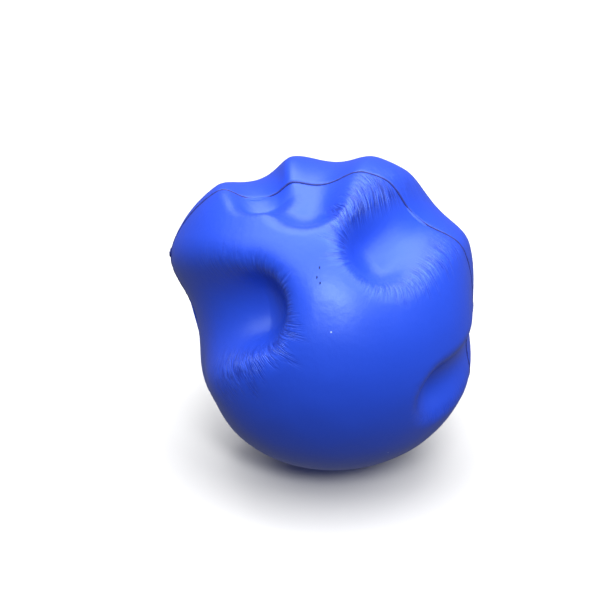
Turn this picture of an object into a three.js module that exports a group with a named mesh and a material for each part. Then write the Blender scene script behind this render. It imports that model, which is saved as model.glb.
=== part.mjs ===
// A moulded polyurethane foam stress ball, held in the shape that a gripping hand gives it.
// Millimetres, +Z up. The origin is the centre of the free ball. The ball was moulded in two halves that
// close along Y: the front half faces -Y, where the fingertips press, and the rear half faces +Y, the palm.
import * as THREE from "three";

// Driving dimensions, in millimetres and degrees.
const BALL_RADIUS = 31.5;
const SKIN = 1.2; // dense integral skin with its colour coat
const BOND_GAP = 0.3; // stands for the bond between two pieces
const FLASH_WIDTH = 0.6;
const FLASH_RISE = 0.2; // how far the parting flash stands out of the skin
const NUB_SIZE = [1.2, 2.4, 0.6]; // the gate nub across, along and out of the parting line
const NUB_AT = [-90, 20.5]; // on the parting line, at the -X side

const SEGMENTS = 60; // round the mould axis
const RINGS = 15; // from a pole to the parting line
const NUB_SEGMENTS = 12;

// A place on the ball is [bearing, height]: bearing is measured from the front, -Y, towards +X, and height
// from the level plane towards +Z. Each finger lies along an arc over the ball, from its tip to the place
// where it leaves the foam. radius is the finger's, depth is how far it presses in (negative: it stands
// clear), both from tip to far end, and soft is how widely the foam rolls over at the edge.
const FINGERS = {
  index: { tip: [-66, 66], far: [-156, 18], radius: [6.7, 8.0], depth: [5.0, -2.5], soft: 2.4 },
  middle: { tip: [-16, 71], far: [175, 23], radius: [7.3, 8.4], depth: [5.0, -2.5], soft: 3.5 },
  ring: { tip: [39, 48], far: [140, 20], radius: [7.2, 8.6], depth: [7.0, -3.0], soft: 5.0 },
  little: { tip: [55, -13], far: [127, 1], radius: [6.2, 7.2], depth: [4.5, 0.5], soft: 3.5 },
  thumb: { tip: [-28, 23], far: [-114, -21], radius: [6.6, 11.0], depth: [10.5, 2.5], soft: 8.0 },
};

// Broad swellings and hollows of the gripped foam: spread is the half width in degrees.
const SWELLS = [
  { at: [-99, 29], rise: 2.4, spread: 32 }, // between thumb and index finger
  { at: [146, 57], rise: 1.4, spread: 30 }, // over the top, behind the middle finger
  { at: [111, 27], rise: 0.9, spread: 16 }, // between ring and little finger
  { at: [-88, 52], rise: 0.6, spread: 18 }, // along the index finger
  { at: [-67, -18], rise: -3.6, spread: 22 }, // under the ball of the thumb
  { at: [93, 5], rise: -2.0, spread: 20 }, // along the little finger
  { at: [-75, -48], rise: -1.3, spread: 30 }, // below the thumb
  { at: [75, -48], rise: 0.9, spread: 28 }, // below the little finger
];

// The palm flattens the rear: a plane this far from the centre.
const PALM = { at: [-173, -45], distance: 26.5, soft: 8.0 };

const BLUE = new THREE.Color(0x2c46dc);
const DARK_BLUE = new THREE.Color(0x1f2f9c);
const FOAM_BLUE = new THREE.Color(0x5a78e6);

function directionTo([bearing, height]) {
  const b = THREE.MathUtils.degToRad(bearing);
  const h = THREE.MathUtils.degToRad(height);
  return new THREE.Vector3(Math.sin(b) * Math.cos(h), -Math.cos(b) * Math.cos(h), Math.sin(h));
}

const arcs = Object.values(FINGERS).map((finger) => {
  const start = directionTo(finger.tip);
  const end = directionTo(finger.far);
  const across = new THREE.Vector3().crossVectors(start, end).normalize();
  const along = new THREE.Vector3().crossVectors(across, start);
  return { ...finger, start, along, span: start.angleTo(end) };
});
const swells = SWELLS.map((swell) => ({ ...swell, axis: directionTo(swell.at) }));
const palmAxis = directionTo(PALM.at);

// The larger of a and b, rounded over where they are within `soft` of each other.
function roundedMax(a, b, soft) {
  const share = THREE.MathUtils.clamp(0.5 + (b - a) / (2 * soft), 0, 1);
  return THREE.MathUtils.lerp(a, b, share) + soft * share * (1 - share);
}

// How far a point lies inside one finger, along its arc from tip to far end.
function insideFinger(point, arc) {
  const turn = Math.atan2(point.dot(arc.along), point.dot(arc.start));
  const pastFarSide = turn < -(Math.PI - arc.span / 2);
  const share = pastFarSide ? 1 : THREE.MathUtils.clamp(turn / arc.span, 0, 1);
  const widening = 1 - (1 - share) ** 2;
  const radius = THREE.MathUtils.lerp(arc.radius[0], arc.radius[1], widening);
  const depth = THREE.MathUtils.lerp(arc.depth[0], arc.depth[1], share);
  const axisHeight = BALL_RADIUS + radius - depth;
  const nearest = new THREE.Vector3()
    .addScaledVector(arc.start, axisHeight * Math.cos(share * arc.span))
    .addScaledVector(arc.along, axisHeight * Math.sin(share * arc.span));
  return radius - point.distanceTo(nearest);
}

// Height above the gripped surface: negative inside the foam.
function heightOver(point) {
  const unit = point.clone().normalize();
  let radius = BALL_RADIUS;
  for (const swell of swells) {
    const falloff = 1 - Math.cos(THREE.MathUtils.degToRad(swell.spread));
    radius += swell.rise * Math.exp((unit.dot(swell.axis) - 1) / falloff);
  }
  let height = point.length() - radius;
  height = roundedMax(height, point.dot(palmAxis) - PALM.distance, PALM.soft);
  for (const arc of arcs) height = roundedMax(height, insideFinger(point, arc), arc.soft);
  return height;
}

// Distance from the centre, along a direction, to the layer that lies `depth` under the gripped surface.
function radiusAt(unit, depth) {
  const step = 1;
  let far = 10;
  while (heightOver(unit.clone().multiplyScalar(far)) < -depth) far += step;
  let near = far - step;
  for (let i = 0; i < 30; i += 1) {
    const middle = (near + far) / 2;
    if (heightOver(unit.clone().multiplyScalar(middle)) < -depth) near = middle;
    else far = middle;
  }
  return (near + far) / 2;
}

// Moves a piece of the free ball to where the grip pushes it: each layer keeps its depth under the surface.
function press(geometry) {
  const place = geometry.getAttribute("position");
  const point = new THREE.Vector3();
  for (let i = 0; i < place.count; i += 1) {
    point.fromBufferAttribute(place, i);
    const depth = BALL_RADIUS - point.length();
    point.normalize();
    point.multiplyScalar(depth > 0 ? radiusAt(point, depth) : radiusAt(point, 0) - depth);
    place.setXYZ(i, point.x, point.y, point.z);
  }
  geometry.computeVertexNormals();
  return geometry;
}

// A point of the free ball, in the plane of a lathe profile: angle 0 is the front pole, 180 the rear pole.
function profilePoint(radius, angle) {
  const a = THREE.MathUtils.degToRad(angle);
  const onAxis = angle === 0 || angle === 180;
  return new THREE.Vector2(onAxis ? 0 : radius * Math.sin(a), -radius * Math.cos(a));
}

// Cuts each quad from profile row `firstRow` on along its other diagonal. The inside of a shell then has
// the same triangles as the surface that lies against it, and the two never cross.
function turnDiagonals(lathe, rows, firstRow) {
  const index = lathe.getIndex();
  for (let quad = 0; quad * 6 < index.count; quad += 1) {
    if (quad % (rows - 1) < firstRow) continue;
    const at = quad * 6;
    const [a, b, d, c] = [0, 1, 2, 3].map((k) => index.getX(at + k));
    [a, b, c, a, c, d].forEach((vertex, k) => index.setX(at + k, vertex));
  }
}

const flashEdge = THREE.MathUtils.radToDeg(FLASH_WIDTH / 2 / BALL_RADIUS);
const rim = THREE.MathUtils.radToDeg((FLASH_WIDTH / 2 + BOND_GAP) / BALL_RADIUS);
const halfAngles = Array.from({ length: RINGS + 1 }, (_, i) => ((90 - rim) * i) / RINGS);

// The front half of the free skin: a shell from its pole to the parting line.
function halfSkin() {
  const outside = halfAngles.map((angle) => profilePoint(BALL_RADIUS, angle));
  const inside = halfAngles.map((angle) => profilePoint(BALL_RADIUS - SKIN, angle));
  const profile = [...outside, ...inside.reverse()];
  const shell = new THREE.LatheGeometry(profile, SEGMENTS);
  turnDiagonals(shell, profile.length, outside.length);
  return shell;
}

function foamCore() {
  const radius = BALL_RADIUS - SKIN - BOND_GAP;
  const rearAngles = halfAngles.map((angle) => 180 - angle).reverse();
  const profile = [...halfAngles, ...rearAngles].map((angle) => profilePoint(radius, angle));
  return new THREE.LatheGeometry(profile, SEGMENTS);
}

// A thin ring between the two half skins, standing a little out of them.
function partingFlash() {
  const inner = BALL_RADIUS - SKIN;
  const outer = BALL_RADIUS + FLASH_RISE;
  const [front, rear] = [90 - flashEdge, 90 + flashEdge];
  const section = [
    profilePoint(outer, front),
    profilePoint(outer, rear),
    profilePoint(inner, rear),
    profilePoint(inner, front),
    profilePoint(outer, front),
  ];
  return new THREE.LatheGeometry(section, SEGMENTS);
}

// The stub that is left where the mould was filled: a flattened bead lying along the parting flash.
function gateNub() {
  const out = directionTo(NUB_AT);
  const across = new THREE.Vector3(0, 1, 0);
  const along = new THREE.Vector3().crossVectors(out, across);
  const nub = new THREE.SphereGeometry(0.5, NUB_SEGMENTS, NUB_SEGMENTS / 2);
  nub.scale(...NUB_SIZE);
  nub.applyMatrix4(new THREE.Matrix4().makeBasis(across, along, out));
  const height = radiusAt(out, 0) + FLASH_RISE + BOND_GAP + NUB_SIZE[2] / 2;
  return nub.translate(...out.multiplyScalar(height));
}

const pieces = [
  ["skin_front", press(halfSkin()), BLUE, 0.42],
  ["skin_rear", press(halfSkin().rotateZ(Math.PI)), BLUE, 0.42],
  ["foam_core", press(foamCore()), FOAM_BLUE, 0.9],
  ["parting_flash", press(partingFlash()), DARK_BLUE, 0.55],
  ["gate_nub", gateNub(), DARK_BLUE, 0.55],
];

const stressBall = new THREE.Group();
for (const [name, geometry, color, roughness] of pieces) {
  const material = new THREE.MeshStandardMaterial({ color, roughness, metalness: 0 });
  const mesh = new THREE.Mesh(geometry, material);
  mesh.name = name;
  stressBall.add(mesh);
}

export default stressBall;
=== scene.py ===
import math

import bpy
import numpy as np
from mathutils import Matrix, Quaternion, Vector


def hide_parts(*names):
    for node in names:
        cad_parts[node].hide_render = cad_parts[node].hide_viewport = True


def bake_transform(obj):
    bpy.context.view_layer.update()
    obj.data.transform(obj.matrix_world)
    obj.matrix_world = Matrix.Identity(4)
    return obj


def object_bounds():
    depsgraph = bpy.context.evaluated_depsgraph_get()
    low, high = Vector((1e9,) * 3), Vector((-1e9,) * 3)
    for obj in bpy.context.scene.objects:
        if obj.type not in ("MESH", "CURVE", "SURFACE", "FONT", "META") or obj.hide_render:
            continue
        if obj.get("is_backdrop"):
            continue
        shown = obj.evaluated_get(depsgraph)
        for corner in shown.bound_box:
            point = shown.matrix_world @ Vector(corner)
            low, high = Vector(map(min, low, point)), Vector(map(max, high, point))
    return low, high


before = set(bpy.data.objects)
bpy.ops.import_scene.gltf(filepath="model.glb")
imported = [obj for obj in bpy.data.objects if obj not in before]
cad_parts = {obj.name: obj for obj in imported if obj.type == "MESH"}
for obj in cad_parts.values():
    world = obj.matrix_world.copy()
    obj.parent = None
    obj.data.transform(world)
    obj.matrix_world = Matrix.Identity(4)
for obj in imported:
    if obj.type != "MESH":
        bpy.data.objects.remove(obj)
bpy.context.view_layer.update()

# A polyurethane foam stress ball in the shape that a gripping hand gives it. Shapes are worked out in
# millimetres in the CAD frame and turned into metres when a mesh is made. The front half of the ball faces
# -Y, where the fingertips press, and the rear half +Y, the palm; the parting line lies between them at Y = 0.

MM = 0.001

# ---------------------------------------------------------------------------------------------- the grip
# The same driving values as the CAD model. A place is (bearing, height) in degrees: bearing from the
# front, -Y, towards +X, and height from the level plane towards +Z.

BALL_RADIUS = 31.5
SKIN = 1.2

# name: tip, far end, finger radius (tip, far end), depth pressed in (tip, far end), width of the rolled edge
FINGERS = {
    "index": ((-66, 66), (-156, 18), (6.7, 8.0), (5.0, -2.5), 2.4),
    "middle": ((-16, 71), (175, 23), (7.3, 8.4), (5.0, -2.5), 3.5),
    "ring": ((39, 48), (140, 20), (7.2, 8.6), (7.0, -3.0), 5.0),
    "little": ((55, -13), (127, 1), (6.2, 7.2), (4.5, 0.5), 3.5),
    "thumb": ((-28, 23), (-114, -21), (6.6, 11.0), (10.5, 2.5), 8.0),
}

# place, rise, half width in degrees
SWELLS = (
    ((-99, 29), 2.4, 32),
    ((146, 57), 1.4, 30),
    ((111, 27), 0.9, 16),
    ((-88, 52), 0.6, 18),
    ((-67, -18), -3.6, 22),
    ((93, 5), -2.0, 20),
    ((-75, -48), -1.3, 30),
    ((75, -48), 0.9, 28),
)

PALM_AT = (-173, -45)
PALM_DISTANCE = 26.5
PALM_SOFT = 8.0

OUTLINE_OUT = 2.5  # how far outside a finger its outline runs
INNERMOST = 12.0  # no part of the surface, or of anything under it, is nearer the middle than this
HALVINGS = 18  # of the step of 1 mm in which the surface is found


def direction_to(place):
    bearing, height = (math.radians(angle) for angle in place)
    level = math.cos(height)
    return np.array([math.sin(bearing) * level, -math.cos(bearing) * level, math.sin(height)])


class Finger:
    """One finger laid along an arc over the ball, from its tip to where it leaves the foam."""

    def __init__(self, tip, far, radius, depth, soft):
        self.start = direction_to(tip)
        end = direction_to(far)
        across = np.cross(self.start, end)
        self.across = across / np.linalg.norm(across)
        self.along = np.cross(self.across, self.start)
        self.span = math.acos(self.start @ end)
        self.radius, self.depth, self.soft = radius, depth, soft
        self.outline_radius = radius[0] + OUTLINE_OUT

    def gap(self, points):
        """Distance of each point from the finger's surface, and the turn and share along its arc."""
        turn = np.arctan2(points @ self.along, points @ self.start)
        share = np.clip(turn / self.span, 0, 1)
        share = np.where(turn < self.span / 2 - math.pi, 1, share)
        radius = self.radius[0] + (self.radius[1] - self.radius[0]) * (1 - (1 - share) ** 2)
        depth = self.depth[0] + (self.depth[1] - self.depth[0]) * share
        height = BALL_RADIUS + radius - depth
        angle = share * self.span
        nearest = np.outer(height * np.cos(angle), self.start)
        nearest += np.outer(height * np.sin(angle), self.along)
        return np.linalg.norm(points - nearest, axis=1) - radius, turn, share

    def outline(self, points, turn):
        """Distance along the finger's outline, 0 at the very tip, negative on one side of it."""
        side = points @ self.across
        round_tip = np.arctan2(side, -points @ self.along)
        straight = np.sign(side) * (math.pi / 2 + turn * BALL_RADIUS / self.outline_radius)
        return np.where(turn > 0, straight, round_tip) * self.outline_radius


fingers = {name: Finger(*values) for name, values in FINGERS.items()}


def rounded_max(a, b, soft):
    share = np.clip(0.5 + (b - a) / (2 * soft), 0, 1)
    return a + (b - a) * share + soft * share * (1 - share)


def height_over(points):
    """Height of each point above the gripped surface: negative inside the foam."""
    distance = np.linalg.norm(points, axis=1)
    unit = points / distance[:, None]
    radius = np.full(len(points), BALL_RADIUS)
    for place, rise, spread in SWELLS:
        falloff = 1 - math.cos(math.radians(spread))
        radius += rise * np.exp((unit @ direction_to(place) - 1) / falloff)
    height = rounded_max(distance - radius, points @ direction_to(PALM_AT) - PALM_DISTANCE, PALM_SOFT)
    for finger in fingers.values():
        height = rounded_max(height, -finger.gap(points)[0], finger.soft)
    return height


def surface_points(units, depth=0.0):
    """The point along each direction that lies `depth` under the gripped surface."""
    depth = np.broadcast_to(depth, len(units)).astype(float)
    far = np.full(len(units), INNERMOST)
    outward = np.arange(len(units))
    while len(outward):
        inside = height_over(units[outward] * far[outward, None]) < -depth[outward]
        outward = outward[inside]
        far[outward] += 1
    near = far - 1
    for _ in range(HALVINGS):
        middle = (near + far) / 2
        inside = height_over(units * middle[:, None]) < -depth
        near = np.where(inside, middle, near)
        far = np.where(inside, far, middle)
    return units * near[:, None]


def surface_normals(points):
    step = 0.05
    slope = [height_over(points + step * axis) - height_over(points - step * axis) for axis in np.eye(3)]
    slope = np.stack(slope, axis=1)
    return slope / np.linalg.norm(slope, axis=1, keepdims=True)


# ------------------------------------------------------------------------------------------------- noise

NOISE_RISE = 1.6  # brings the noise to about -1 to 1


def smooth_noise(cells, seed):
    """Gradient noise of any dimension, about -1 to 1: cells holds one coordinate per column, in cells."""
    rng = np.random.default_rng(seed)
    table = rng.permutation(256)
    slopes = rng.normal(size=(256, cells.shape[1]))
    slopes /= np.linalg.norm(slopes, axis=1, keepdims=True)
    corner = np.floor(cells).astype(int)
    inside = cells - corner
    fade = inside ** 3 * (inside * (inside * 6 - 15) + 10)
    total = np.zeros(len(cells))
    for offset in np.ndindex(*(2,) * cells.shape[1]):
        index = np.zeros(len(cells), int)
        weight = np.ones(len(cells))
        for k, step in enumerate(offset):
            index = table[(index + corner[:, k] + step) % 256]
            weight *= fade[:, k] if step else 1 - fade[:, k]
        total += weight * np.einsum("ij,ij->i", slopes[index], inside - offset)
    return total * NOISE_RISE


# ---------------------------------------------------------------------------------- creases in the skin
# The skin is gathered into fine creases that run out from under each finger. The folds that can be felt are
# in the mesh.
# The hair-fine creases between them are left to the coat's material as bump, and it darkens both with painted
# shade; the pale ridge lines beside those are a painted highlight. The material takes the place along and
# away from each finger's outline, and the strength there, from the mesh.

# Per finger, at the -side of its arc, at its tip and at the +side: the strength of the creases, how far they
# reach in mm, and how far they slant along the outline for each mm that they run out from it. Then how far
# back from the tip they go, in degrees of its arc.
CREASES = {
    "index": ((0.15, 4.0, 0.1), (0.25, 4.0, 0.0), (0.2, 4.0, 0.1), 50),
    "middle": ((0.15, 4.0, 0.2), (0.2, 4.0, 0.0), (0.15, 4.0, 0.1), 50),
    "ring": ((0.75, 8.0, -0.25), (0.35, 5.5, 0.0), (1.4, 9.5, -0.55), 60),
    "little": ((0.35, 4.0, 0.0), (0.45, 4.5, 0.0), (0.3, 4.0, 0.0), 40),
    "thumb": ((0.35, 8.0, 0.0), (0.95, 5.5, 0.1), (0.9, 12.0, 0.4), 32),
}
FOLD_SPACING = 0.66
FOLD_LENGTH = 9.0
FOLD_DEPTH = 0.1
FOLD_SHARPNESS = 2.4
WANDER = 0.3  # how far the creases stray to the side
CALM_AT_SEAM = 1.5  # how far from the parting line they reach full strength
CALM_REAR = 0.35  # their strength in the rear half, against 1 in the front half


def crease_field(name, points):
    """Place along and away from a finger's outline in mm, and the strength of the creases there."""
    finger = fingers[name]
    gap, turn, _ = finger.gap(points)
    along = finger.outline(points, turn)
    side = np.clip(along / (math.pi / 2 * finger.outline_radius), -1, 1)
    *parts, farthest = CREASES[name]
    strength, reach, slant = (np.interp(side, (-1, 0, 1), values) for values in zip(*parts))
    # They fade in over the first millimetre, out over the second half of their uneven reach, and out back
    # along the finger's sides.
    reach *= 0.8 + 0.35 * smooth_noise(np.stack([along / 1.4, gap / 20], axis=1), 41)
    fade = np.clip((gap - 0.1) / 0.9, 0, 1) * np.clip((reach - gap) / (0.5 * reach), 0, 1)
    fade *= np.clip(1.8 * (1 - turn / math.radians(farthest)), 0, 1)
    wander = WANDER * smooth_noise(points / 7.0, 40)
    return along + slant * gap + wander, gap, fade * strength


def fold_depth(fields, points):
    """How deep the skin is folded at each surface point, 0 to about 1."""
    deepest = np.zeros(len(points))
    patch = np.clip(0.9 + 0.6 * smooth_noise(points / 2.5, 70), 0.45, 1.2)
    for seed, (along, gap, strength) in enumerate(fields):
        cells = np.stack([along / FOLD_SPACING, gap / FOLD_LENGTH], axis=1)
        line = np.clip(1 - FOLD_SHARPNESS * np.abs(smooth_noise(cells, 10 + seed)), 0, 1)
        deepest = np.maximum(deepest, line * strength * patch)
    return deepest


# -------------------------------------------------------------------------------------------- mesh parts

def new_piece(name, points, faces, materials):
    mesh = bpy.data.meshes.new(name)
    mesh.from_pydata((points * MM).tolist(), [], faces)
    mesh.validate()
    mesh.shade_smooth()
    for material in materials:
        mesh.materials.append(material)
    piece = bpy.data.objects.new(name, mesh)
    bpy.context.scene.collection.objects.link(piece)
    return piece


def add_attribute(piece, name, values):
    """Stores one number, or one vector, for each vertex where the materials can read it."""
    vector = values.ndim == 2
    attribute = piece.data.attributes.new(name, "FLOAT_VECTOR" if vector else "FLOAT", "POINT")
    attribute.data.foreach_set("vector" if vector else "value", values.astype(np.float32).ravel())


def round_grid(rings):
    """A disc of even triangles: ring k has 6 k points. Gives radius and angle of each point, and faces."""
    radius, angle, faces = [0.0], [0.0], []
    for k in range(1, rings + 1):
        radius += [k / rings] * (6 * k)
        angle += [math.tau * i / (6 * k) for i in range(6 * k)]

    def start(k):
        return 1 + 3 * k * (k - 1) if k else 0

    for k in range(1, rings + 1):
        outer, inner = 6 * k, max(6 * (k - 1), 1)
        for sector in range(6):
            for i in range(k):
                a = start(k) + (sector * k + i) % outer
                b = start(k) + (sector * k + i + 1) % outer
                c = start(k - 1) + (sector * (k - 1) + i) % inner
                faces.append((c, a, b))
                if i < k - 1:
                    d = start(k - 1) + (sector * (k - 1) + i + 1) % inner
                    faces.append((c, b, d))
    return np.array(radius), np.array(angle), faces


def crowd(flat, centre):
    """Moves points of the unit disc so that they stand closer together round `centre`; the rim stays."""
    return (flat + centre) / (1 + np.conj(centre) * flat)


def half_units(flat, rim_angle):
    """Directions over the front half from points of the unit disc, whose rim becomes the parting line."""
    flat = flat * math.tan(rim_angle / 2)
    size = np.abs(flat) ** 2
    return np.stack([2 * flat.real, size - 1, 2 * flat.imag], axis=1) / (1 + size)[:, None]


def spread_rings(radius, angle, rim_angle):
    """Points of the unit disc whose rings stand closer together, on the ball, near the middle."""
    turn = rim_angle * radius * (0.7 + 0.3 * radius)
    return np.tan(turn / 2) / math.tan(rim_angle / 2) * np.exp(1j * angle)


def disc_place(place, rim_angle):
    """Where a direction of the front half lies on the unit disc."""
    x, y, z = direction_to(place)
    return complex(x, z) / (1 - y) / math.tan(rim_angle / 2)


SEAM_EDGE = 0.05  # half the gap left between the two half skins at the parting line
SEAM_ROLL = 0.3  # how far from the line the edges roll in
SEAM_DEPTH = 0.3
SEAM_START = 2.2  # where the rings that roll in begin, as a multiple of SEAM_ROLL
EDGE_RINGS = 6
CREASE_CENTRE = (-3, 42)
UNEVEN = ((0.05, 6.0, 3), (0.012, 1.1, 4))  # rise, width of the bumps and seed


def half_skin(name, rings, material, front):
    """One half of the skin as a closed shell: a fine outside, a rolled edge and a coarser inside."""
    rim_angle = math.pi / 2 - SEAM_START * SEAM_ROLL / BALL_RADIUS
    radius, angle, faces = round_grid(rings)
    flat = spread_rings(radius, angle, rim_angle)
    if front:
        flat = crowd(flat, disc_place(CREASE_CENTRE, rim_angle))
    outside = half_units(flat, rim_angle)
    count = 6 * rings
    rim = outside[-count:]
    rim_level = np.hypot(rim[:, 0], rim[:, 2])[:, None]
    level = np.stack([rim[:, 0], np.zeros(count), rim[:, 2]], axis=1) / rim_level
    units = [outside]
    # Extra rings lead from the rim to the parting line.
    for k in range(1, EDGE_RINGS + 1):
        share = k / EDGE_RINGS
        y = math.cos(rim_angle) * (1 - share) + SEAM_EDGE / BALL_RADIUS * share
        edge = level * math.sqrt(1 - y * y)
        edge[:, 1] = -y
        units.append(edge)
    fine_units = np.concatenate(units)
    first = len(outside) - count
    for k in range(EDGE_RINGS):
        low = first + k * count
        faces += [
            (low + i, low + count + i, low + count + (i + 1) % count, low + (i + 1) % count)
            for i in range(count)
        ]
    fine = len(fine_units)

    # The inside has a third of the rings, and its rim is every third point of the edge.
    inner_rings = rings // 3
    radius, angle, inner_faces = round_grid(inner_rings)
    inner_rim = math.pi / 2 - SEAM_EDGE / BALL_RADIUS
    inner_units = half_units(spread_rings(radius, angle, inner_rim), inner_rim)
    inner_units[-count // 3:] = fine_units[-count::3]
    faces += [(fine + a, fine + c, fine + b) for a, b, c in inner_faces]
    low, high = fine - count, fine + len(inner_units) - count // 3
    for i in range(count // 3):
        a, b = 3 * i, 3 * (i + 1) % count
        c, d = high + i, high + (i + 1) % (count // 3)
        faces += [(low + a, c, low + a + 1), (low + a + 1, c, low + a + 2)]
        faces += [(low + a + 2, c, d), (low + a + 2, d, low + b)]

    if not front:
        fine_units[:, :2] *= -1
        inner_units[:, :2] *= -1
    points = surface_points(fine_units)
    normals = surface_normals(points)
    fields = [crease_field(finger, points) for finger in CREASES]
    fold = fold_depth(fields, points)
    from_seam = np.abs(points[:, 1])
    roll = SEAM_DEPTH * np.exp(-((from_seam / SEAM_ROLL) ** 2))
    uneven = sum(rise * smooth_noise(points / width, seed) for rise, width, seed in UNEVEN)
    calm = np.clip(from_seam / CALM_AT_SEAM, 0, 1) * (1.0 if front else CALM_REAR)
    fold = fold * calm
    points = points + normals * (uneven - fold * FOLD_DEPTH - roll)[:, None]
    inner = surface_points(inner_units, SKIN)
    piece = new_piece(name, np.concatenate([points, inner]), faces, [material])
    hidden = np.zeros(len(inner))
    add_attribute(piece, "fold", np.concatenate([fold, hidden]))
    for finger, (along, gap, strength) in zip(CREASES, fields):
        field = np.stack([along, gap, strength * calm], axis=1)
        add_attribute(piece, "crease_" + finger, np.concatenate([field, np.zeros((len(inner), 3))]))
    return piece


CORE_RINGS = 50
CORE_GAP = 0.1  # between the core and the inside of the skin
PORE_DEPTH = 0.04


def foam_core(material):
    """The core as one closed ball of foam, its front and rear halves sharing the points of their rim."""
    radius, angle, faces = round_grid(CORE_RINGS)
    count = 6 * CORE_RINGS
    front = half_units(spread_rings(radius, angle, math.pi / 2), math.pi / 2)
    rear = front[:-count] * np.array([1, -1, 1])
    total = len(front)
    rear_faces = []
    for face in faces:
        a, b, c = (k if k >= total - count else k + total for k in face)
        rear_faces.append((a, c, b))
    units = np.concatenate([front, rear])
    points = surface_points(units, SKIN + CORE_GAP)
    pores = PORE_DEPTH * smooth_noise(points / 0.9, 21)
    points = points * (1 + (pores - PORE_DEPTH) / BALL_RADIUS)[:, None]
    return new_piece("foam_core_soft", points, faces + rear_faces, [material])


FLASH_STEPS, FLASH_SIDES = 1200, 8
FLASH_SUNK = 0.1  # how deep the bead's widest line lies in the parting line
FLASH_CROWN = 0.19  # how far the bead stands out over that line
FLASH_FOOT = 0.3  # how far it reaches in below that line
FLASH_HALF_WIDTH = 0.19
FLASH_RAGGED = 0.06
FLASH_SWAY = 0.05


def parting_flash(material):
    """The thin ragged bead of trimmed foam that runs round the ball in the parting line."""
    steps, sides = FLASH_STEPS, FLASH_SIDES
    angle = np.linspace(0, math.tau, steps, endpoint=False)
    units = np.stack([np.cos(angle), np.zeros(steps), np.sin(angle)], axis=1)
    centre = surface_points(units)
    out = surface_normals(centre)
    out[:, 1] = 0
    out /= np.linalg.norm(out, axis=1, keepdims=True)
    ragged = smooth_noise(centre / 1.3, 31) + 0.6 * smooth_noise(centre / 0.5, 32)
    crown = FLASH_CROWN + FLASH_RAGGED * ragged
    half_width = FLASH_HALF_WIDTH + 0.04 * smooth_noise(centre / 0.8, 33)
    sway = FLASH_SWAY * smooth_noise(centre / 4.0, 34)
    rows = []
    for k in range(sides):
        turn = math.tau * k / sides
        lift = np.where(math.sin(turn) > 0, crown, FLASH_FOOT) * math.sin(turn) - FLASH_SUNK
        row = centre + out * lift[:, None]
        row[:, 1] += half_width * math.cos(turn) + sway
        rows.append(row)
    points = np.stack(rows, axis=1).reshape(-1, 3)
    faces = []
    for i in range(steps):
        for k in range(sides):
            a, b = i * sides + k, i * sides + (k + 1) % sides
            c, d = ((i + 1) % steps) * sides + (k + 1) % sides, ((i + 1) % steps) * sides + k
            faces.append((a, b, c, d))
    return new_piece("parting_flash_bead", points, faces, [material])


NUB_PLACE = (-90, 20.5)
NUB_SIZE = (0.9, 2.0, 0.6)
NUB_RINGS = 14


def gate_nub(material):
    """The stub left where the mould was filled: a low torn bead that lies along the parting line."""
    out = direction_to(NUB_PLACE)
    seat = surface_points(out[None])[0]
    normal = surface_normals(seat[None])[0]
    normal[1] = 0
    normal /= np.linalg.norm(normal)
    across = np.array([0.0, 1.0, 0.0])
    along = np.cross(normal, across)
    radius, angle, faces = round_grid(NUB_RINGS)
    x = radius * np.cos(angle)
    y = radius * np.sin(angle)
    dome = np.sqrt(np.clip(1 - radius ** 2, 0, 1))
    count = 6 * NUB_RINGS
    upper = np.stack([x, y, dome], axis=1)
    lower = np.stack([x, y, -0.5 * dome], axis=1)[:-count]
    total = len(upper)
    lower_faces = []
    for face in faces:
        a, b, c = (k if k >= total - count else k + total for k in face)
        lower_faces.append((a, c, b))
    shape = np.concatenate([upper, lower])
    lumps = 1 + 0.25 * smooth_noise(shape * 1.7, 51) + 0.12 * smooth_noise(shape * 5.0, 52)
    shape = shape * lumps[:, None] * np.array(NUB_SIZE) / 2
    points = seat + shape @ np.stack([across, along, normal])
    return new_piece("gate_nub_stub", points, faces + lower_faces, [material])


# --------------------------------------------------------------------------------------------- materials

def new_material(name):
    material = bpy.data.materials.new(name)
    material.use_nodes = True
    tree = material.node_tree
    tree.nodes.clear()
    output = tree.nodes.new("ShaderNodeOutputMaterial")
    shader = tree.nodes.new("ShaderNodeBsdfPrincipled")
    tree.links.new(shader.outputs["BSDF"], output.inputs["Surface"])
    return material, tree, shader


def node(tree, kind, settings=None, **inputs):
    """A node with its settings, and its inputs, by name or as _number, each set to a value or linked."""
    made = tree.nodes.new(kind)
    for key, value in (settings or {}).items():
        setattr(made, key, value)
    for key, value in inputs.items():
        socket = made.inputs[int(key[1:]) if key[1:].isdigit() else key.replace("_", " ")]
        if isinstance(value, bpy.types.NodeSocket):
            tree.links.new(value, socket)
        else:
            socket.default_value = value
    return made


def math_node(tree, operation, *values):
    inputs = {f"_{k}": value for k, value in enumerate(values)}
    return node(tree, "ShaderNodeMath", {"operation": operation}, **inputs).outputs[0]


def object_place(tree):
    return tree.nodes.new("ShaderNodeTexCoord").outputs["Object"]


def blend_colours(tree, share, low, high):
    return node(tree, "ShaderNodeMix", {"data_type": "RGBA"}, _0=share, _6=low, _7=high).outputs[2]


# Marks in the coat as places on the ball: pinholes that the wrinkling has drawn out, their dark colour
# painted shade in the pits, and pale specks of dust.
PINHOLES = ((3, 42), (2, 38.5), (3.5, 36.5), (152, -8), (161, -12))
DUST = ((8, 19.5), (36, -39), (118, 20), (-140, 38))
MARK_SIZE = 0.2
PINHOLE_STRETCH = 2.2
HAIR_SPACING = 0.46
HAIR_LENGTH = 5.0
HAIR_APART = 7.3  # sets each finger's noise apart from the next one's


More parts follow.
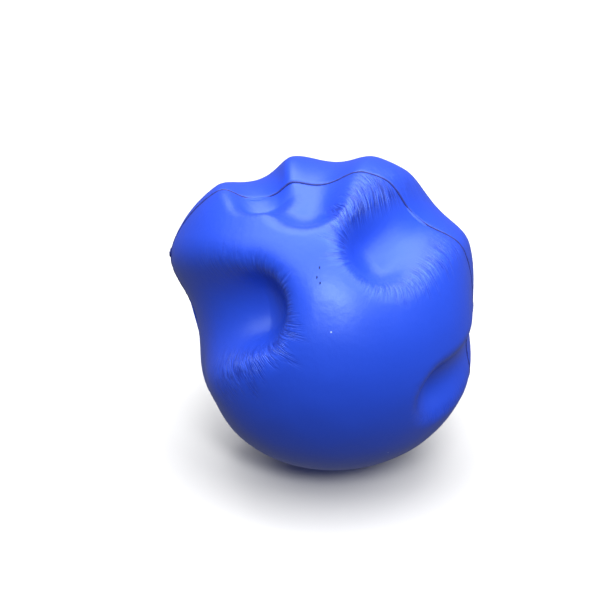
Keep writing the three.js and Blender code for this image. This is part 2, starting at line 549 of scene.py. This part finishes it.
def hair_creases(tree, names, seed):
    """The hair-fine creases round the named fingers, 0 to 1: the deepest of those that belong to each."""
    deepest = 0.0
    for number, finger in enumerate(names, seed):
        field = node(tree, "ShaderNodeAttribute", {"attribute_name": "crease_" + finger}).outputs["Vector"]
        parts = node(tree, "ShaderNodeSeparateXYZ", Vector=field)
        across = math_node(tree, "MULTIPLY", parts.outputs["X"], 1 / HAIR_SPACING)
        out = math_node(tree, "MULTIPLY", parts.outputs["Y"], 1 / HAIR_LENGTH)
        cells = node(tree, "ShaderNodeCombineXYZ", X=across, Y=out, Z=number * HAIR_APART)
        noise = node(tree, "ShaderNodeTexNoise", Vector=cells.outputs["Vector"], Scale=1.0, Detail=1.0)
        offset = math_node(tree, "ABSOLUTE", math_node(tree, "SUBTRACT", noise.outputs["Fac"], 0.5))
        line = node(tree, "ShaderNodeMapRange", Value=offset, From_Max=0.09, To_Min=1.0, To_Max=0.0)
        line = math_node(tree, "MULTIPLY", line.outputs["Result"], parts.outputs["Z"])
        deepest = math_node(tree, "MAXIMUM", line, deepest)
    return deepest


def marks(tree, place, spots, width, stretch):
    """A mask of small marks, 1 at each spot of the ball and 0 beyond the width, drawn out up and down."""
    shape = (1, 1 / stretch, 1 / stretch)
    place = node(tree, "ShaderNodeVectorMath", {"operation": "MULTIPLY"}, _0=place, _1=shape).outputs[0]
    nearest = 1.0
    for point in surface_points(np.array([direction_to(spot) for spot in spots])) * MM:
        distance = node(tree, "ShaderNodeVectorMath", {"operation": "DISTANCE"}, _0=place, _1=point * shape)
        nearest = math_node(tree, "MINIMUM", distance.outputs["Value"], nearest)
    edge = {"From_Min": 0.4 * width, "From_Max": width}
    mask = node(tree, "ShaderNodeMapRange", Value=nearest, **edge, To_Min=1.0, To_Max=0.0)
    return mask.outputs["Result"]


def coat_material():
    """Satin blue polyurethane coat: faint mottling, creases darkened with painted shade, pale ridge lines of
    painted highlight, and a fine grain.
    """
    material, tree, shader = new_material("satin_blue_coat")
    place = object_place(tree)
    cloud = node(tree, "ShaderNodeTexNoise", Vector=place, Scale=55.0, Detail=3.0, Roughness=0.55)
    speckle = node(tree, "ShaderNodeTexNoise", Vector=place, Scale=1900.0, Detail=2.0, Roughness=0.6)
    colour = blend_colours(tree, cloud.outputs["Fac"], (0.009, 0.044, 0.47, 1), (0.012, 0.053, 0.53, 1))
    fold = node(tree, "ShaderNodeAttribute", {"attribute_name": "fold"}).outputs["Fac"]
    hair = hair_creases(tree, CREASES, 0)
    # Painted highlight: pale lines beside the ring and thumb creases, where the ridge tops would catch the
    # light.
    painted_ridge_highlight = hair_creases(tree, ("ring", "thumb"), 8)
    colour = blend_colours(tree, math_node(tree, "MULTIPLY", painted_ridge_highlight, 0.4), colour, (0.06, 0.15, 0.9, 1))
    # Painted shade: the folds and hair-fine creases are darkened toward deep navy.
    painted_crease_shade = math_node(tree, "MULTIPLY", math_node(tree, "MAXIMUM", fold, hair), 0.7)
    colour = blend_colours(tree, painted_crease_shade, colour, (0.002, 0.014, 0.25, 1))
    # The pinholes are real marks and rougher; their dark colour is painted shade in the pits.
    pinholes_and_pit_shade = marks(tree, place, PINHOLES, MARK_SIZE * MM, PINHOLE_STRETCH)
    colour = blend_colours(tree, pinholes_and_pit_shade, colour, (0.002, 0.005, 0.06, 1))
    dust = marks(tree, place, DUST, MARK_SIZE * MM, 1.0)
    colour = blend_colours(tree, dust, colour, (0.35, 0.45, 0.8, 1))
    tree.links.new(colour, shader.inputs["Base Color"])
    rough = node(tree, "ShaderNodeMapRange", Value=speckle.outputs["Fac"], To_Min=0.33, To_Max=0.45)
    rough = math_node(tree, "MAXIMUM", rough.outputs["Result"], pinholes_and_pit_shade)
    tree.links.new(rough, shader.inputs["Roughness"])
    grain = node(tree, "ShaderNodeBump", Strength=0.3, Distance=0.00006, Height=speckle.outputs["Fac"])
    relief = node(tree, "ShaderNodeBump", {"invert": True}, Strength=0.65, Distance=0.0001, Height=hair,
                  Normal=grain.outputs["Normal"])
    tree.links.new(relief.outputs["Normal"], shader.inputs["Normal"])
    shader.inputs["Specular IOR Level"].default_value = 0.5
    shader.inputs["Specular Tint"].default_value = (0.7, 1, 1, 1)
    return material


def flash_material():
    """The trimmed foam of the parting line: the same blue, darker and duller where the coat is cut."""
    material, tree, shader = new_material("trimmed_flash")
    place = object_place(tree)
    torn = node(tree, "ShaderNodeTexNoise", Vector=place, Scale=900.0, Detail=4.0, Roughness=0.7)
    colour = blend_colours(tree, torn.outputs["Fac"], (0.004, 0.009, 0.09, 1), (0.012, 0.028, 0.26, 1))
    tree.links.new(colour, shader.inputs["Base Color"])
    rough = node(tree, "ShaderNodeMapRange", Value=torn.outputs["Fac"], To_Min=0.5, To_Max=0.8)
    tree.links.new(rough.outputs["Result"], shader.inputs["Roughness"])
    bump = node(tree, "ShaderNodeBump", Strength=0.4, Distance=0.0001, Height=torn.outputs["Fac"])
    tree.links.new(bump.outputs["Normal"], shader.inputs["Normal"])
    return material


def foam_material():
    """Open-celled foam of the core, darker toward the middle of each cell: painted shade in the pores."""
    material, tree, shader = new_material("open_foam")
    place = object_place(tree)
    cells = node(tree, "ShaderNodeTexVoronoi", Vector=place, Scale=1500.0)
    # Painted shade: each cell is darker toward its middle, where the pore sinks in.
    colour = blend_colours(tree, cells.outputs["Distance"], (0.05, 0.1, 0.5, 1), (0.16, 0.26, 0.8, 1))
    tree.links.new(colour, shader.inputs["Base Color"])
    bump = node(tree, "ShaderNodeBump", Strength=0.7, Distance=0.0003, Height=cells.outputs["Distance"])
    tree.links.new(bump.outputs["Normal"], shader.inputs["Normal"])
    shader.inputs["Roughness"].default_value = 0.9
    return material


# ---------------------------------------------------------------------------------------------- the ball

FRONT_RINGS = 156
REAR_RINGS = 120

coat = coat_material()
flash = flash_material()
foam = foam_material()

pieces = (
    (half_skin("skin_front_gripped", FRONT_RINGS, coat, front=True), "skin_front", "coat"),
    (half_skin("skin_rear_gripped", REAR_RINGS, coat, front=False), "skin_rear", "coat"),
    (foam_core(foam), "foam_core", "foam"),
    (parting_flash(flash), "parting_flash", "flash"),
    (gate_nub(flash), "gate_nub", "flash"),
)

for piece, cad_node, slot in pieces:
    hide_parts(cad_node)
    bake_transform(piece)

# ----------------------------------------------------------------------------------- floor, light, camera

FLOOR_REACH = 3.0
FLOOR_GAP = 0.0002
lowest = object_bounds()[0].z


def floor():
    material, tree, shader = new_material("pale_floor")
    place = object_place(tree)
    cloud = node(tree, "ShaderNodeTexNoise", Vector=place, Scale=3.0, Detail=2.0)
    colour = blend_colours(tree, cloud.outputs["Fac"], (0.50, 0.50, 0.505, 1), (0.54, 0.54, 0.54, 1))
    tree.links.new(colour, shader.inputs["Base Color"])
    shader.inputs["Roughness"].default_value = 0.6
    mesh = bpy.data.meshes.new("floor")
    corners = [(x * FLOOR_REACH, y * FLOOR_REACH, 0) for x, y in ((-1, -1), (1, -1), (1, 1), (-1, 1))]
    mesh.from_pydata(corners, [], [(0, 1, 2, 3)])
    mesh.materials.append(material)
    made = bpy.data.objects.new("floor", mesh)
    made.location = (0, 0, lowest - FLOOR_GAP)
    bpy.context.scene.collection.objects.link(made)
    # The ball takes its light from the studio, not from the floor: the palm under the real one is dark.
    made.visible_diffuse = False
    made.visible_glossy = False
    made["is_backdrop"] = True


# name: direction, distance in m, width and height in m, power in W, roll in degrees
LIGHTS = {
    "key": ((13, 37.5), 0.7, (0.12, 0.36), 3.5, 40),
    "top": ((0, 84), 0.9, (1.8, 1.8), 9.0, 0),
    "right": ((70, 52), 0.9, (1.0, 1.0), 7.5, 0),
    "left": ((-75, 62), 0.9, (1.0, 1.0), 5.5, 0),
    "back": ((180, 66), 0.9, (1.0, 1.0), 8.0, 0),
}
WORLD_STRENGTH = 0.24


def soft_light(name, towards, distance, size, power, roll):
    """An oval soft light that shines on the ball."""
    data = bpy.data.lights.new(name, "AREA")
    data.shape = "ELLIPSE"
    data.size, data.size_y = size
    data.energy = power
    light = bpy.data.objects.new(name, data)
    aim = direction_to(towards)
    light.location = aim * distance
    turn = Quaternion((0, 0, 1), math.radians(roll))
    light.rotation_euler = (Vector(aim).to_track_quat("Z", "Y") @ turn).to_euler()
    bpy.context.scene.collection.objects.link(light)


CAMERA_DIRECTION = (6.5, 26)
CAMERA_DISTANCE = 0.6
CAMERA_LENS = 176
AIM_RIGHT, AIM_UP = -4.0, 1.4  # what the camera looks at, in mm off the ball's middle


def camera():
    back = direction_to(CAMERA_DIRECTION)
    azimuth = math.radians(CAMERA_DIRECTION[0])
    right = np.array([math.cos(azimuth), math.sin(azimuth), 0])
    up = np.cross(back, right)
    aim = (AIM_RIGHT * right + AIM_UP * up) * MM
    data = bpy.data.cameras.new("camera")
    data.lens = CAMERA_LENS
    made = bpy.data.objects.new("camera", data)
    made.location = aim + back * CAMERA_DISTANCE
    made.rotation_euler = Vector(back).to_track_quat("Z", "Y").to_euler()
    bpy.context.scene.collection.objects.link(made)
    bpy.context.scene.camera = made


floor()
for light_name, light_values in LIGHTS.items():
    soft_light(light_name, *light_values)
world = bpy.data.worlds.new("world")
world.use_nodes = True
background = world.node_tree.nodes["Background"]
background.inputs["Color"].default_value = (1, 1, 1, 1)
background.inputs["Strength"].default_value = WORLD_STRENGTH
bpy.context.scene.world = world
bpy.context.scene.view_settings.view_transform = "Standard"
camera()
